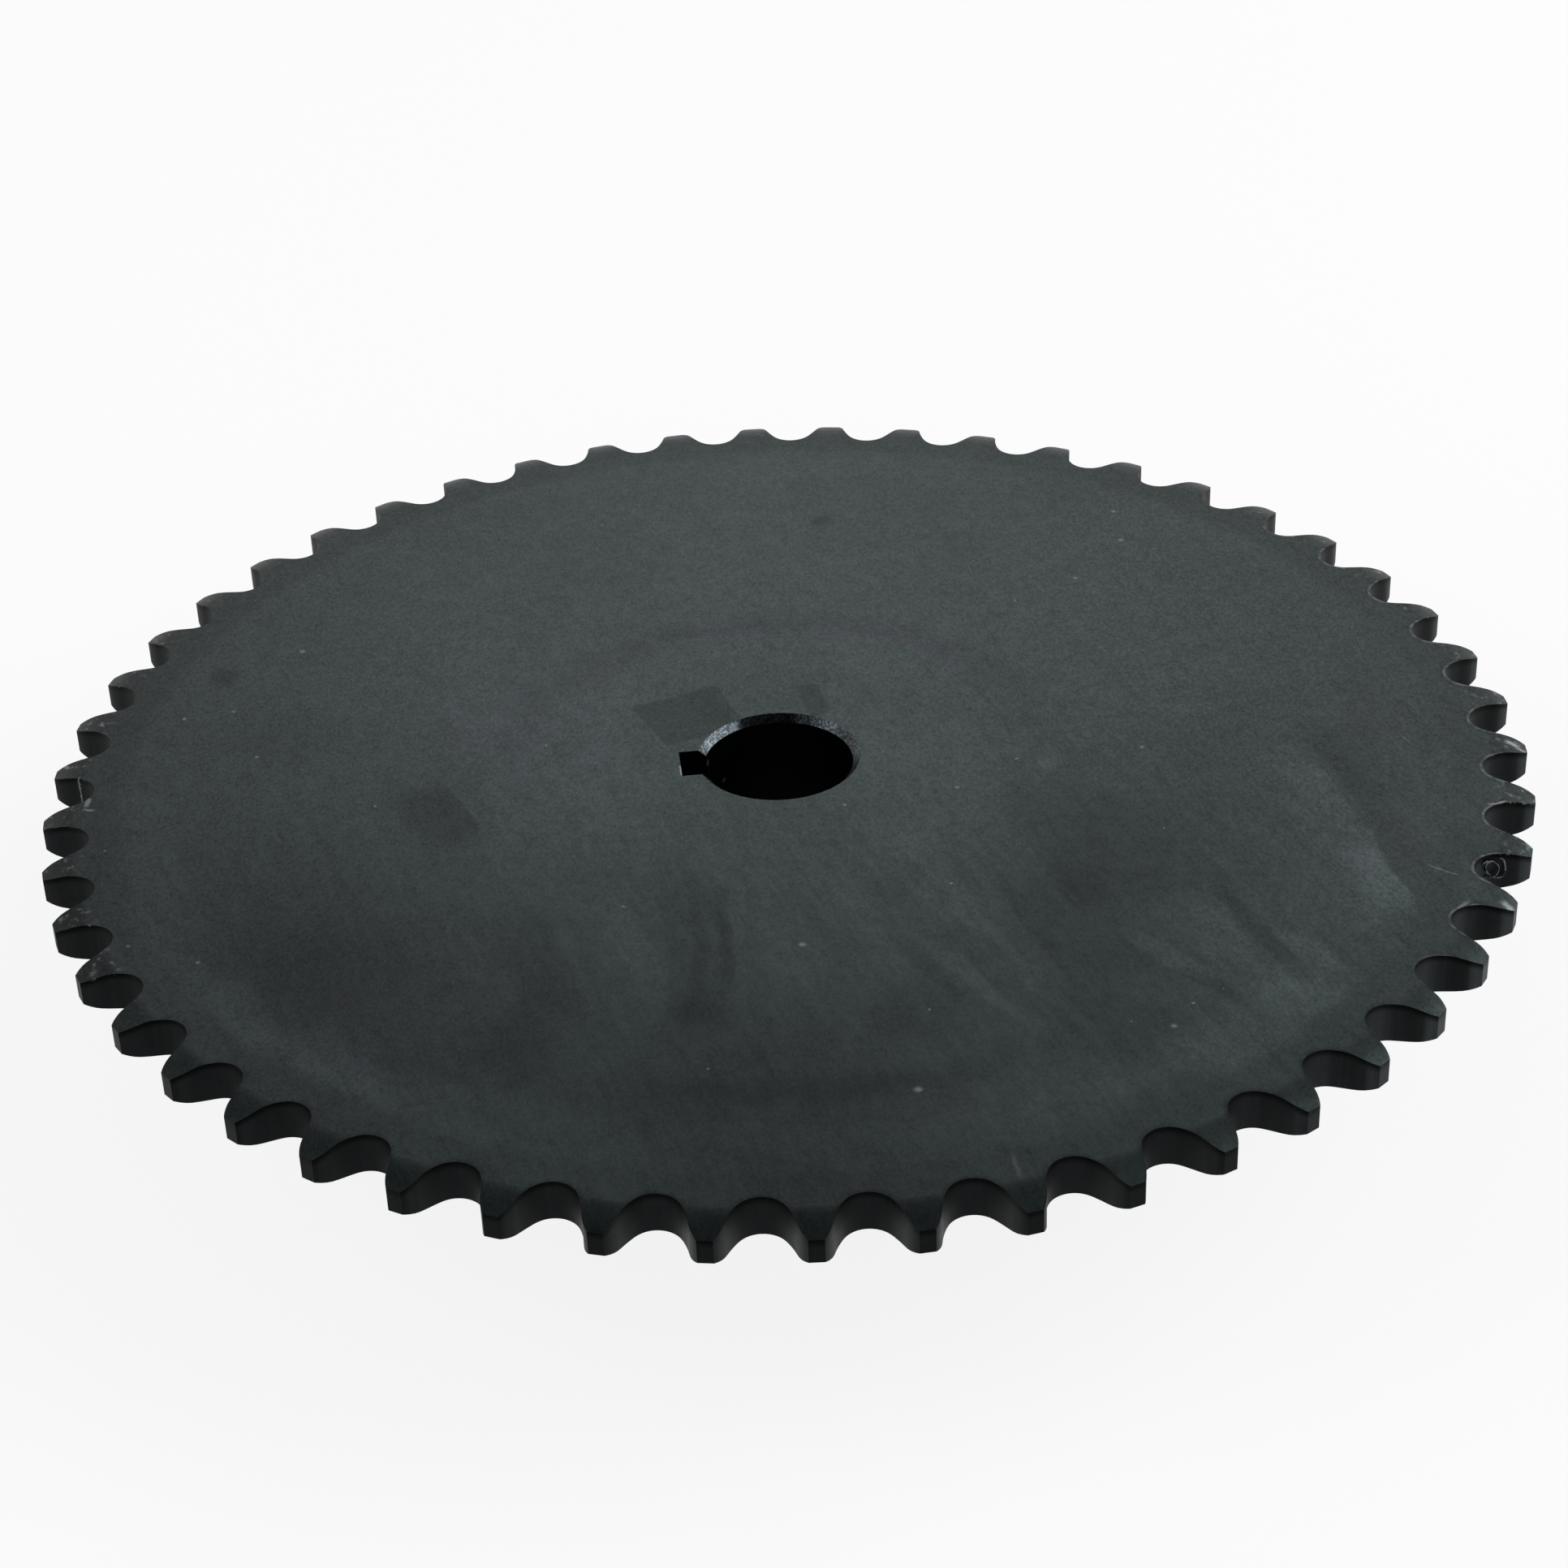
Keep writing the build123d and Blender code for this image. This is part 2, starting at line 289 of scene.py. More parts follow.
# Rubbed or scratched to bare steel, as smears are described; the tone is the share of bare steel
RUBBED = [
    # a hairline scratch that ends at the burr
    Smear(63.0, -31.7, -43, 1.5, 0.04, 0.03, 0.10, 0.10, 0.5, 0.55),
    # nicks beside the scratched wall on the left
    Smear(-73.7, 2.4, 80, 0.8, 0.25, 0.0, 0.15, 0.15, 0.3, 0.45),
    Smear(-73.5, 0.9, 160, 0.6, 0.16, 0.0, 0.12, 0.12, 0.3, 0.40),
    # scuffed tooth tops
    Smear(76.3, -9.5, -40, 0.7, 0.30, 0.0, 0.25, 0.25, 0.4, 0.80),
    Smear(77.0, -10.4, -30, 0.5, 0.20, 0.0, 0.20, 0.20, 0.3, 0.60),
    Smear(67.8, -38.1, -60, 0.8, 0.35, 0.0, 0.30, 0.30, 0.4, 0.45),
    Smear(-76.6, 10.7, 120, 0.7, 0.20, 0.0, 0.15, 0.15, 0.4, 0.40),
    Smear(13.8, -71.5, 93, 1.6, 0.20, 0.0, 0.2, 0.2, 0.8, 0.10),
    # rolled edges of gaps on the right: bare steel, and partly a painted highlight
    Smear(71.6, -20.7, 10, 0.9, 0.14, 0.12, 0.08, 0.08, 0.4, 0.70),
    Smear(63.2, -38.0, 40, 0.9, 0.20, 0.0, 0.15, 0.15, 0.5, 0.40),
    # the keyway's end edge: worn bare, and a painted highlight along it
    Smear(-10.56, -1.3, 90, 0.9, 0.09, 0.0, 0.05, 0.05, 0.3, 0.90),
    # a short scratch near the right-hand teeth
    Smear(65.6, -7.4, -70, 0.9, 0.06, 0.0, 0.10, 0.10, 0.5, 0.24),
]
# a deep scratch down a wall on the left
WALL_SCRATCH = Smear(-74.95, 7.5, 62, 0.25, 0.08, 0.0, 0.08, 0.08, 0.2, 0.40)

# Bright nicks and dust: where, and their radius; each is brightest inside the first and gone
# beyond the second of these shares of its radius
NICK_FADE = (0.2, 1.8)
NICK_BRIGHTNESS = 0.45
Nick = namedtuple("Nick", "x y radius z", defaults=(PLATE_FACE,))
NICKS = [
    Nick(-64.0, 18.0, 0.20),
    Nick(38.2, -4.4, 0.20),
    Nick(-1.3, -34.8, 0.30),
    Nick(-51.1, 30.6, 0.30),
    Nick(-58.6, 18.7, 0.18),
    Nick(-55.8, 8.7, 0.20),
    Nick(5.8, -10.6, 0.20),
    Nick(17.8, -9.1, 0.22),
    Nick(44.4, 40.5, 0.28),
    Nick(44.9, 47.5, 0.26),
    Nick(37.6, 32.5, 0.18),
    Nick(24.8, -4.6, 0.18),
    Nick(-60.8, -29.0, 0.18),
    Nick(6.7, -59.3, 0.34),
    Nick(31.7, -53.1, 0.26),
    Nick(14.6, -26.6, 0.20),
    # inside the bore: a painted highlight along the keyway's corner edge, and a mark on the bore's wall
    Nick(-7.4, 2.8, 0.30, 23.5),
    Nick(-5.6, 5.6, 0.25, 19.3),
]

# A curled burr that clings to a gap's wall: two loops in the wall's plane
BURR_CENTRE = Vector((68.45, -29.93, 23.75))
BURR_WIRE_RADIUS = 0.11
BURR_LOOP = Vector((0.80, 0.10, 1.05))      # half the width, depth and height of a loop
BURR_ADVANCE = 0.84375                      # from one loop to the next
BURR_TURNS = 2.2
BURR_POINTS = 44
BURR_START = 0.6                            # radians, where its first loop begins

SCREW_EDGE_WIDTH = 0.12         # how far from their edges the set screws are rubbed bright

# The tapped holes' threads
THREAD_PITCH = 1.27             # 20 turns to the inch
THREAD_DEPTH = 0.55
THREAD_WALL = 0.05              # steel left outside the thread's root
THREAD_BURIED = 0.02            # how far the sleeve reaches into the hole's own wall
THREAD_FLAT = 1.25              # over 1, the thread's crest is cut flat
HOLE_COUNTERSINK = 0.5
SAMPLES_PER_PITCH = 14
SAMPLES_ROUND = 72


class Nodes:
    """A new material or world, with short ways to add its nodes."""

    def __init__(self, name, blocks=bpy.data.materials, output="ShaderNodeOutputMaterial"):
        self.block = blocks.new(name)
        self.block.use_nodes = True
        self.tree = self.block.node_tree
        self.tree.nodes.clear()
        self.output = self.tree.nodes.new(output)

    def link(self, value, socket):
        """Sets a socket to a number or a colour, or links it to another node's output."""
        if isinstance(value, bpy.types.NodeSocket):
            self.tree.links.new(value, socket)
        else:
            socket.default_value = value

    def new(self, kind, inputs=None, **properties):
        node = self.tree.nodes.new(kind)
        for name, value in properties.items():
            setattr(node, name, value)
        for key, value in (inputs or {}).items():
            self.link(value, node.inputs[key])
        return node

    def math(self, operation, a, b=None, c=None):
        given = {key: value for key, value in enumerate((a, b, c)) if value is not None}
        return self.new("ShaderNodeMath", given, operation=operation).outputs[0]

    def times(self, *values):
        """The product of some numbers."""
        return functools.reduce(functools.partial(self.math, "MULTIPLY"), values)

    def plus(self, *values):
        """The sum of some numbers."""
        return functools.reduce(functools.partial(self.math, "ADD"), values)

    def largest(self, *values):
        return functools.reduce(functools.partial(self.math, "MAXIMUM"), values)

    def more(self, value, where, amount):
        """A value with an amount added, as far as "where" goes from 0 to 1."""
        return self.math("MULTIPLY_ADD", where, amount, value)

    def vector_math(self, operation, a, b, output="Vector"):
        return self.new("ShaderNodeVectorMath", {0: a, 1: b}, operation=operation).outputs[output]

    def dot(self, a, b):
        return self.vector_math("DOT_PRODUCT", a, b, "Value")

    def distance(self, a, b):
        return self.vector_math("DISTANCE", a, b, "Value")

    def scaled(self, vector, factor):
        """A vector or a colour, times a number."""
        node = self.new("ShaderNodeVectorMath", {0: vector}, operation="SCALE")
        self.link(factor, node.inputs["Scale"])
        return node.outputs[0]

    def xyz(self, x, y, z):
        return self.new("ShaderNodeCombineXYZ", {"X": x, "Y": y, "Z": z}).outputs[0]

    def on_face(self, place):
        """A place's (x, y, 1), which is how the marks on the plate's face take it."""
        inputs = {0: place, 1: (1.0, 1.0, 0.0), 2: (0.0, 0.0, 1.0)}
        return self.new("ShaderNodeVectorMath", inputs, operation="MULTIPLY_ADD").outputs[0]

    def ramp(self, value, low, high, at_low=0.0, at_high=1.0):
        """Runs smoothly from at_low to at_high as the value goes from low to high."""
        inputs = {"Value": value, "From Min": low, "From Max": high, "To Min": at_low, "To Max": at_high}
        node = self.new("ShaderNodeMapRange", inputs, interpolation_type="SMOOTHSTEP", clamp=False)
        return node.outputs["Result"]

    def fading(self, value, low, high, at_low=1.0):
        """Runs smoothly from at_low to 0."""
        return self.ramp(value, low, high, at_low, 0.0)

    def after(self, value, edge, fade):
        """0 below the edge and 1 above it, with a fade on both sides of it."""
        return self.ramp(value, edge - fade, edge + fade)

    def before(self, value, edge, fade):
        """1 below the edge and 0 above it."""
        return self.fading(value, edge - fade, edge + fade)

    def band(self, value, low, high, fade):
        """1 between low and high, and 0 outside."""
        return self.times(self.after(value, low, fade), self.before(value, high, fade))

    def mix(self, share, a, b):
        """Mixes two colours."""
        node = self.new("ShaderNodeMix", data_type="RGBA")
        colours = [socket for socket in node.inputs if socket.type == "RGBA"]
        self.link(share, node.inputs["Factor"])
        self.link(a, colours[0])
        self.link(b, colours[1])
        return next(socket for socket in node.outputs if socket.type == "RGBA")

    def noise(self, vector, scale, detail, roughness, output="Fac"):
        inputs = {"Vector": vector, "Scale": scale, "Detail": detail, "Roughness": roughness}
        return self.new("ShaderNodeTexNoise", inputs).outputs[output]

    def wandering(self, vector, scale, detail, size):
        """The vector, moved about at random by up to half the size, to make edges uneven."""
        colour = self.noise(vector, scale, detail, 0.5, "Color")
        centred = self.vector_math("SUBTRACT", colour, (0.5, 0.5, 0.5))
        return self.vector_math("ADD", vector, self.vector_math("MULTIPLY", centred, (size, size, size)))

    def around_zero(self, value, size):
        """A noise's value, moved to vary about 0 by up to size."""
        return self.math("MULTIPLY_ADD", value, 2 * size, -size)

    def specks(self, vector, cell, share, size):
        """Small round specks: one in some of the cells, each of its own size."""
        cells = self.new("ShaderNodeTexVoronoi", {"Vector": self.scaled(vector, 1 / cell), "Scale": 1.0})
        chance = self.new("ShaderNodeSeparateColor", {0: cells.outputs["Color"]})
        chosen = self.math("LESS_THAN", chance.outputs["Red"], share)
        reach = self.ramp(chance.outputs["Green"], 0.0, 1.0, 0.4 * size / cell, size / cell)
        near = self.math("DIVIDE", cells.outputs["Distance"], reach)
        return self.times(chosen, self.before(near, 0.9, 0.3))

    def smear(self, spot, mark):
        """Where a smear is, from 0 to 1. The spot is (x, y, 1), so that z carries the mark's own place."""
        along = Vector((math.cos(math.radians(mark.turn)), math.sin(math.radians(mark.turn)), 0.0))
        across = Vector((-along.y, along.x, 0.0))
        middle = Vector((mark.x, mark.y, 0.0))
        along.z = -along.dot(middle)
        across.z = -across.dot(middle)
        u = self.dot(spot, along)
        v = self.dot(spot, across)
        if mark.bend:
            v = self.more(v, self.times(u, u), -mark.bend)
        right = self.after(v, -mark.width, mark.right)
        left = self.before(v, mark.width, mark.left)
        ends = self.before(self.math("ABSOLUTE", u), mark.length, mark.ends)
        return self.times(left, right, ends)

    def cloud(self, spot, mark, at_middle=1.0):
        """A cloud's share at a spot: at_middle in its middle, and 0 outside."""
        gap = self.distance(spot, (mark.x, mark.y, 1.0))
        return self.fading(gap, mark.near, mark.far, at_middle)

    def relief(self, height, strength, depth):
        """The normal of a surface with a fine relief."""
        inputs = {"Height": height, "Strength": strength, "Distance": depth}
        return self.new("ShaderNodeBump", inputs).outputs[0]

    def metal(self, colour, roughness, normal):
        """Ends the tree with a metal's shader."""
        inputs = {"Base Color": colour, "Metallic": 1.0, "Roughness": roughness, "Normal": normal}
        shader = self.new("ShaderNodeBsdfPrincipled", inputs)
        self.link(shader.outputs[0], self.output.inputs["Surface"])


class Surface:
    """Where a point of the steel is, in millimetres, and which way it faces."""

    def __init__(self, n):
        self.place = n.scaled(n.new("ShaderNodeTexCoord").outputs["Object"], 1 / MM)
        self.normal = n.new("ShaderNodeNewGeometry").outputs["True Normal"]


class SprocketSurface(Surface):
    """Where a point of the sprocket is on its plate, gaps' walls, hub and bore."""

    def __init__(self, n):
        super().__init__(n)
        self.x, self.y, self.z = n.new("ShaderNodeSeparateXYZ", {0: self.place}).outputs
        self.flat = n.xyz(self.x, self.y, 0.0)
        self.radius = n.new("ShaderNodeVectorMath", {0: self.flat}, operation="LENGTH").outputs["Value"]
        self.beside = n.math("ABSOLUTE", self.x)
        self.up = n.new("ShaderNodeSeparateXYZ", {0: self.normal}).outputs["Z"]
        self.levelness = n.math("ABSOLUTE", self.up)
        # from 0 to 1: whether it is upright, faces up, lies in the bore, is a gap's wall or a tooth's end
        self.upright = n.fading(self.levelness, 0.25, 0.6)
        self.top = n.ramp(self.up, 0.2, 0.6)
        self.in_bore = n.before(self.radius, BORE_REACH, 0.2)
        self.wall = n.times(self.upright, n.after(self.radius, WALLS_FROM, 1.0))
        # millimetres, and the point moved about a little, for the marks on the face
        self.below_edge = self.measure_below_edge(n)
        self.from_roller = self.measure_from_roller(n)
        self.spot = n.on_face(n.wandering(self.place, scale=0.12, detail=2.0, size=2.8))

    def measure_below_edge(self, n):
        """How far a wall's point is under its own upper edge, which drops where the teeth are rounded."""
        beyond = n.largest(n.math("SUBTRACT", self.radius, ROUNDING_START), 0.0)
        fall = n.math("POWER", n.math("DIVIDE", beyond, ROUNDING_WIDTH), 2.0)
        return n.math("SUBTRACT", PLATE_FACE, n.more(self.z, fall, ROUNDING_DROP))

    def measure_from_roller(self, n):
        """How far a point is from the axis of the chain roller that sits in the nearest gap."""
        angle = n.math("SUBTRACT", n.math("ARCTAN2", self.y, self.x), HALF_TOOTH)
        folded = n.math("WRAP", angle, HALF_TOOTH, -HALF_TOOTH)
        out = n.times(self.radius, n.math("COSINE", folded))
        across = n.times(self.radius, n.math("SINE", folded))
        return n.distance(n.xyz(out, across, 0.0), (PITCH_RADIUS, 0.0, 0.0))


class Grain:
    """The sprocket's random patterns.

    The blackening is cloudy, mottled and patchy; the hub is turned, which leaves rings, and the gaps
    are hobbed, which leaves lines up their walls; the ground face has a fine grain.
    """

    def __init__(self, n, s):
        self.cloudy = n.around_zero(n.noise(s.place, 0.055, 2.0, 0.6), 0.13)
        self.mottled = n.around_zero(n.noise(s.place, 0.38, 4.0, 0.85), 0.36)
        self.patchy = n.noise(s.place, 0.95, 3.0, 0.7)
        self.turned = n.noise(n.xyz(s.radius, s.z, 0.0), 2.2, 2.0, 0.75)
        self.hobbed = n.noise(n.vector_math("MULTIPLY", s.place, (1.6, 1.6, 0.06)), 1.0, 1.0, 0.6)
        self.fine = n.noise(n.vector_math("MULTIPLY", s.place, (3.4, 2.0, 3.4)), 1.0, 2.0, 0.8)
        self.finest = n.noise(s.place, 3.6, 1.0, 0.6)


class ToothWear:
    """How the teeth at the left and right, which rubbed against something, are worn, with painted light at
    the seats' rolled edges on the right.
    """

    def __init__(self, n, s, grain):
        beyond_seats = n.ramp(s.radius, *R_OF_WORN_TEETH)
        beside = n.ramp(s.beside, *X_OF_SIDE_TEETH)
        handled = n.times(beside, beyond_seats, n.ramp(s.y, *Y_OF_HANDLED_TEETH))
        self.bare = n.times(handled, n.ramp(grain.patchy, 0.55, 0.72, 0.0, 0.38))
        self.stained = n.times(handled, n.fading(grain.patchy, 0.38, 0.50))
        # on the right, the seats' edges are rolled over, with a groove behind them; neither is in the
        # geometry, so a pale rim of bare steel stands for their wear and partly for a painted highlight,
        # and the groove is painted shade
        right = n.times(n.ramp(s.x, *X_OF_RIGHT_TEETH), s.top)
        rolled = n.times(n.before(s.from_roller, ROLLED_EDGE, 0.09), right)
        self.seat_edge = n.times(rolled, n.ramp(grain.patchy, 0.42, 0.62, 0.05, 0.35))
        self.groove = n.times(n.band(s.from_roller, *SEAT_GROOVE, 0.08), right)


def edge_wear(n, surface, width):
    """Where the steel turns a sharp corner, from 0 to 1."""
    rounded = n.new("ShaderNodeBevel", {"Radius": width * MM}, samples=4).outputs[0]
    return n.fading(n.dot(rounded, surface.normal), 0.80, 0.97)


def face_tone_and_painted_light(n, s):
    """How light the blackened plate's face is: smears, clouds, the band by the teeth and the hub's ring,
    with painted light: lighter towards the back right, and painted shade on the band and the teeth's
    rounded sides.
    """
    tone = 1.0
    for mark in SMEARS:
        tone = n.more(tone, n.smear(s.spot, mark), mark.tone)
    for mark in CLOUDS:
        tone = n.more(tone, n.cloud(s.spot, mark), mark.tone)
    # painted light: lighter towards the right and the back
    tone = n.plus(tone, n.dot(s.flat, PAINTED_LIGHT_SLOPE))
    # painted shade on the band before the teeth and on their rounded sides
    band = n.after(s.radius, SHADED_BAND_FROM, 1.05)
    tone = n.more(tone, band, n.ramp(s.y, *Y_OF_DARK_BAND, *SHADED_BAND_TONES))
    rounding = n.ramp(s.radius, ROUNDING_START - 0.3, ROUNDING_START + 0.9)
    tone = n.more(tone, rounding, n.ramp(s.y, *Y_OF_DARK_ROUNDING, *ROUNDING_SHADE_TONES))
    outwards = n.math("POWER", n.math("DIVIDE", s.radius, TOOTH_ROOT_RADIUS), 2.0)
    tone = n.more(tone, outwards, OUTWARD_TONE)
    ring = n.band(s.radius, *HUB_RING, 1.5)
    tone = n.more(tone, ring, n.ramp(s.y, *Y_OF_HUB_RING, *HUB_RING_TONES))
    tone = n.more(tone, n.before(s.radius, HUB_DISC_RADIUS, 0.5), HUB_DISC_TONE)
    # the line shows only towards the back right
    towards_back_right = n.ramp(n.dot(s.flat, (0.7, 0.7, 0.0)), 10.0, 20.0)
    line = n.times(n.band(s.radius, *HUB_LINE, 0.2), towards_back_right)
    return n.more(tone, line, HUB_LINE_TONE)


def face_texture(n, s, grain, wear):
    """What is too fine to place one by one: a cloth's strokes, grain, and the stains by the teeth."""
    strokes = n.xyz(n.dot(s.spot, STROKES_ACROSS), n.times(s.y, STROKES_ALONG), 0.0)
    wiped = n.math("SUBTRACT", n.noise(strokes, 1.0, 4.0, 0.65), 0.5)
    wiped = n.times(wiped, n.ramp(s.y, *Y_OF_STROKES, *STROKE_STRENGTHS))
    coarser = n.ramp(s.beside, *X_OF_COARSE_GRAIN, 0.0, COARSER_BESIDE)
    strength = n.plus(n.ramp(s.y, *Y_OF_GRAIN, *GRAIN_STRENGTHS), coarser)
    grainy = n.times(n.math("SUBTRACT", grain.fine, 0.5), strength)
    texture = n.plus(1.0, grain.cloudy, grain.mottled, wiped, grainy)
    texture = n.more(texture, wear.stained, STAIN_TONE)
    # painted shade for the groove behind the rolled edges
    texture = n.more(texture, wear.groove, GROOVE_SHADE_TONE)
    # painted shade along the gaps in front
    shade_by_gap = n.fading(s.from_roller, SEAT_RADIUS, SEAT_RADIUS + GAP_EDGE_WIDTH, GAP_EDGE_SHADE)
    return n.plus(texture, n.times(n.fading(s.y, *Y_OF_FRONT_TEETH), shade_by_gap))


def violet_share(n, s):
    """Where the blackening is violet instead of green: around the hub's ring and in a few stains."""
    ring = n.times(n.band(s.radius, *HUB_VIOLET, 1.2), n.ramp(s.y, *Y_OF_HUB_VIOLET), 0.9)
    stains = [n.cloud(s.spot, mark, mark.tone) for mark in VIOLET_STAINS]
    uneven = n.ramp(n.noise(s.place, 0.16, 3.0, 0.6), 0.40, 0.56, 0.15, 1.0)
    return n.times(n.largest(ring, *stains), uneven)


def oxide_colour(n, s, grain, wear):
    """The blackening on the plate's face and on the turned surfaces of the hub and the plate's back, with
    the face's painted light and shade.
    """
    face = n.times(face_tone_and_painted_light(n, s), face_texture(n, s, grain, wear))
    turned = n.plus(n.math("MULTIPLY_ADD", grain.turned, 0.5, 0.8), grain.cloudy)
    blend = n.new("ShaderNodeMix", {0: s.top, 2: turned, 3: face}, data_type="FLOAT")
    tone = n.largest(blend.outputs[0], DARKEST_TONE)
    return n.scaled(n.mix(violet_share(n, s), FACE_COLOUR, VIOLET_COLOUR), tone)


def wall_colour_and_painted_light(n, s, grain):
    """The gaps' walls and the teeth's ends: darkest along their upper edge, palest at a gap's bottom; their
    near-black colour, the dark upper edge and the dark ends in front are painted shade, and the shine on
    the right is a painted highlight.
    """
    # painted shade under the upper edge
    shade_under_edge = n.ramp(s.below_edge, 0.15, 0.95, 0.20, 1.05)
    up_the_flanks = n.ramp(s.from_roller, SEAT_RADIUS, SEAT_RADIUS + 1.5, 1.05, 1.15)
    cutter_marks = n.ramp(grain.hobbed, 0.3, 0.75, 0.94, 1.10)
    patches = n.ramp(grain.patchy, 0.35, 0.65, 0.92, 1.08)
    # in front, the teeth's ends are darker: painted shade
    in_front = n.fading(s.y, *Y_OF_FRONT_TEETH)
    painted_shade_on_ends = n.times(in_front, n.ramp(s.radius, *R_OF_DARK_ENDS, 0.0, 0.35))
    # on the right, they and the bottoms of the gaps get a painted highlight
    outward = n.math("DIVIDE", n.dot(s.normal, s.flat), s.radius)
    facing_out = n.ramp(outward, 0.30, 0.95, 0.0, 2.2)
    painted_highlight_on_ends = n.ramp(s.radius, *R_OF_HIGHLIGHTED_ENDS, 0.0, 1.6)
    painted_highlight = n.times(n.plus(facing_out, painted_highlight_on_ends), n.ramp(s.x, *X_OF_HIGHLIGHTED_TEETH))
    tone = n.times(cutter_marks, shade_under_edge, up_the_flanks, patches)
    tone = n.times(tone, n.math("SUBTRACT", 1.0, painted_shade_on_ends), n.plus(painted_highlight, 1.0))
    return n.scaled(WALL_SHADED_COLOUR, tone)


def chamfer_colour(n, s, grain):
    """The bore's chamfer: sparkling tool marks, with painted shade in a stretch in the middle of its back
    and towards its right.
    """
    sparkle = n.ramp(grain.fine, 0.42, 0.66, 0.5, 2.0)
    # painted shade in the middle of the back and towards the right
    shaded = n.more(1.0, n.band(s.x, *X_OF_DARK_CHAMFER, 0.5), -0.8)
    shade_right = n.ramp(s.x, *X_OF_SHADED_CHAMFER, 1.0, 0.6)
    return n.scaled(CHAMFER_COLOUR, n.times(shaded, shade_right, sparkle))


def bare_steel_and_glints(n, s, wear):
    """Where the blackening is gone, from 0 to 1: marks, nicks, specks, tooth tops and edges, with some
    painted highlights among them.
    """
    place = n.wandering(s.place, scale=2.6, detail=1.0, size=0.35)
    spot = n.on_face(place)
    marks = [n.times(n.smear(spot, mark), mark.tone) for mark in RUBBED]
    marks = n.times(n.largest(*marks), s.top)
    scratch = n.times(n.smear(spot, WALL_SCRATCH), WALL_SCRATCH.tone)
    bare = n.largest(marks, scratch)
    for nick in NICKS:
        gap = n.distance(place, (nick.x, nick.y, nick.z))
        near, far = (share * nick.radius for share in NICK_FADE)
        bare = n.largest(bare, n.fading(gap, near, far, NICK_BRIGHTNESS))
    dust = n.times(n.specks(place, cell=3.1, share=0.14, size=0.20), 0.35)
    drawn_out = n.vector_math("MULTIPLY", place, (1.4, 0.30, 1.0))
    scratches = n.times(n.specks(drawn_out, cell=3.0, share=0.06, size=0.16), 0.25)
    on_top = n.times(n.largest(dust, scratches), s.top)
    rim = n.times(n.fading(s.below_edge, 0.05, 0.25), s.wall, wear.bare)
    return n.largest(bare, on_top, n.times(wear.bare, s.top), wear.seat_edge, rim)


def blackened_steel():
    """The sprocket: black-oxided steel, ground on its faces, turned on its hub, hobbed in its gaps."""
    n = Nodes("blackened_steel")
    s = SprocketSurface(n)
    grain = Grain(n, s)
    wear = ToothWear(n, s, grain)
    chamfer = n.times(n.band(s.levelness, 0.55, 0.85, 0.08), s.in_bore)

    colour = n.mix(s.wall, oxide_colour(n, s, grain, wear), wall_colour_and_painted_light(n, s, grain))
    # painted shade: the bore's upright wall is near-black
    colour = n.mix(n.times(s.upright, s.in_bore), colour, BORE_SHADE_COLOUR)
    colour = n.mix(chamfer, colour, chamfer_colour(n, s, grain))
    colour = n.mix(bare_steel_and_glints(n, s, wear), colour, BARE_COLOUR)

    roughness = n.math("MULTIPLY_ADD", grain.patchy, ROUGHNESS_SPREAD, LEAST_ROUGHNESS)
    roughness = n.more(roughness, s.wall, ROUGHER_WALLS)
    roughness = n.more(roughness, chamfer, SMOOTHER_CHAMFER)

    # turning marks everywhere but on the ground face, cutter marks on the walls
    turning = n.times(grain.turned, n.more(1.5, s.top, -1.5))
    height = n.more(n.plus(turning, grain.finest), grain.hobbed, s.wall)
    n.metal(colour, roughness, n.relief(height, RELIEF_STRENGTH, RELIEF_DEPTH))
    return n.block


def screw_steel():
    """The set screws: oiled alloy steel, turned and rolled, rubbed bright on its edges."""
    n = Nodes("screw_steel")
    s = Surface(n)
    grain = n.noise(s.place, 3.5, 4.0, 0.65)
    toned = n.scaled(SCREW_COLOUR, n.math("MULTIPLY_ADD", grain, 0.7, 0.65))
    uneven = n.ramp(n.noise(s.place, 1.1, 3.0, 0.6), 0.35, 0.65, 0.15, 0.9)
    worn = n.times(edge_wear(n, s, SCREW_EDGE_WIDTH), uneven)
    colour = n.mix(worn, toned, SCREW_WORN_COLOUR)
    relief = n.relief(grain, FINE_RELIEF_STRENGTH, FINE_RELIEF_DEPTH)
    n.metal(colour, n.math("MULTIPLY_ADD", grain, 0.18, 0.26), relief)
    return n.block


def burr_steel():
    """The burr: a thin curl of cut steel, part bright and part blued."""
    n = Nodes("burr_steel")
    s = Surface(n)
    grain = n.noise(s.place, 1.6, 3.0, 0.6)
    colour = n.scaled(BURR_COLOUR, n.ramp(grain, 0.38, 0.62, 0.15, 1.5))
    relief = n.relief(grain, FINE_RELIEF_STRENGTH, FINE_RELIEF_DEPTH)
    n.metal(colour, n.math("MULTIPLY_ADD", grain, 0.2, 0.35), relief)
    return n.block


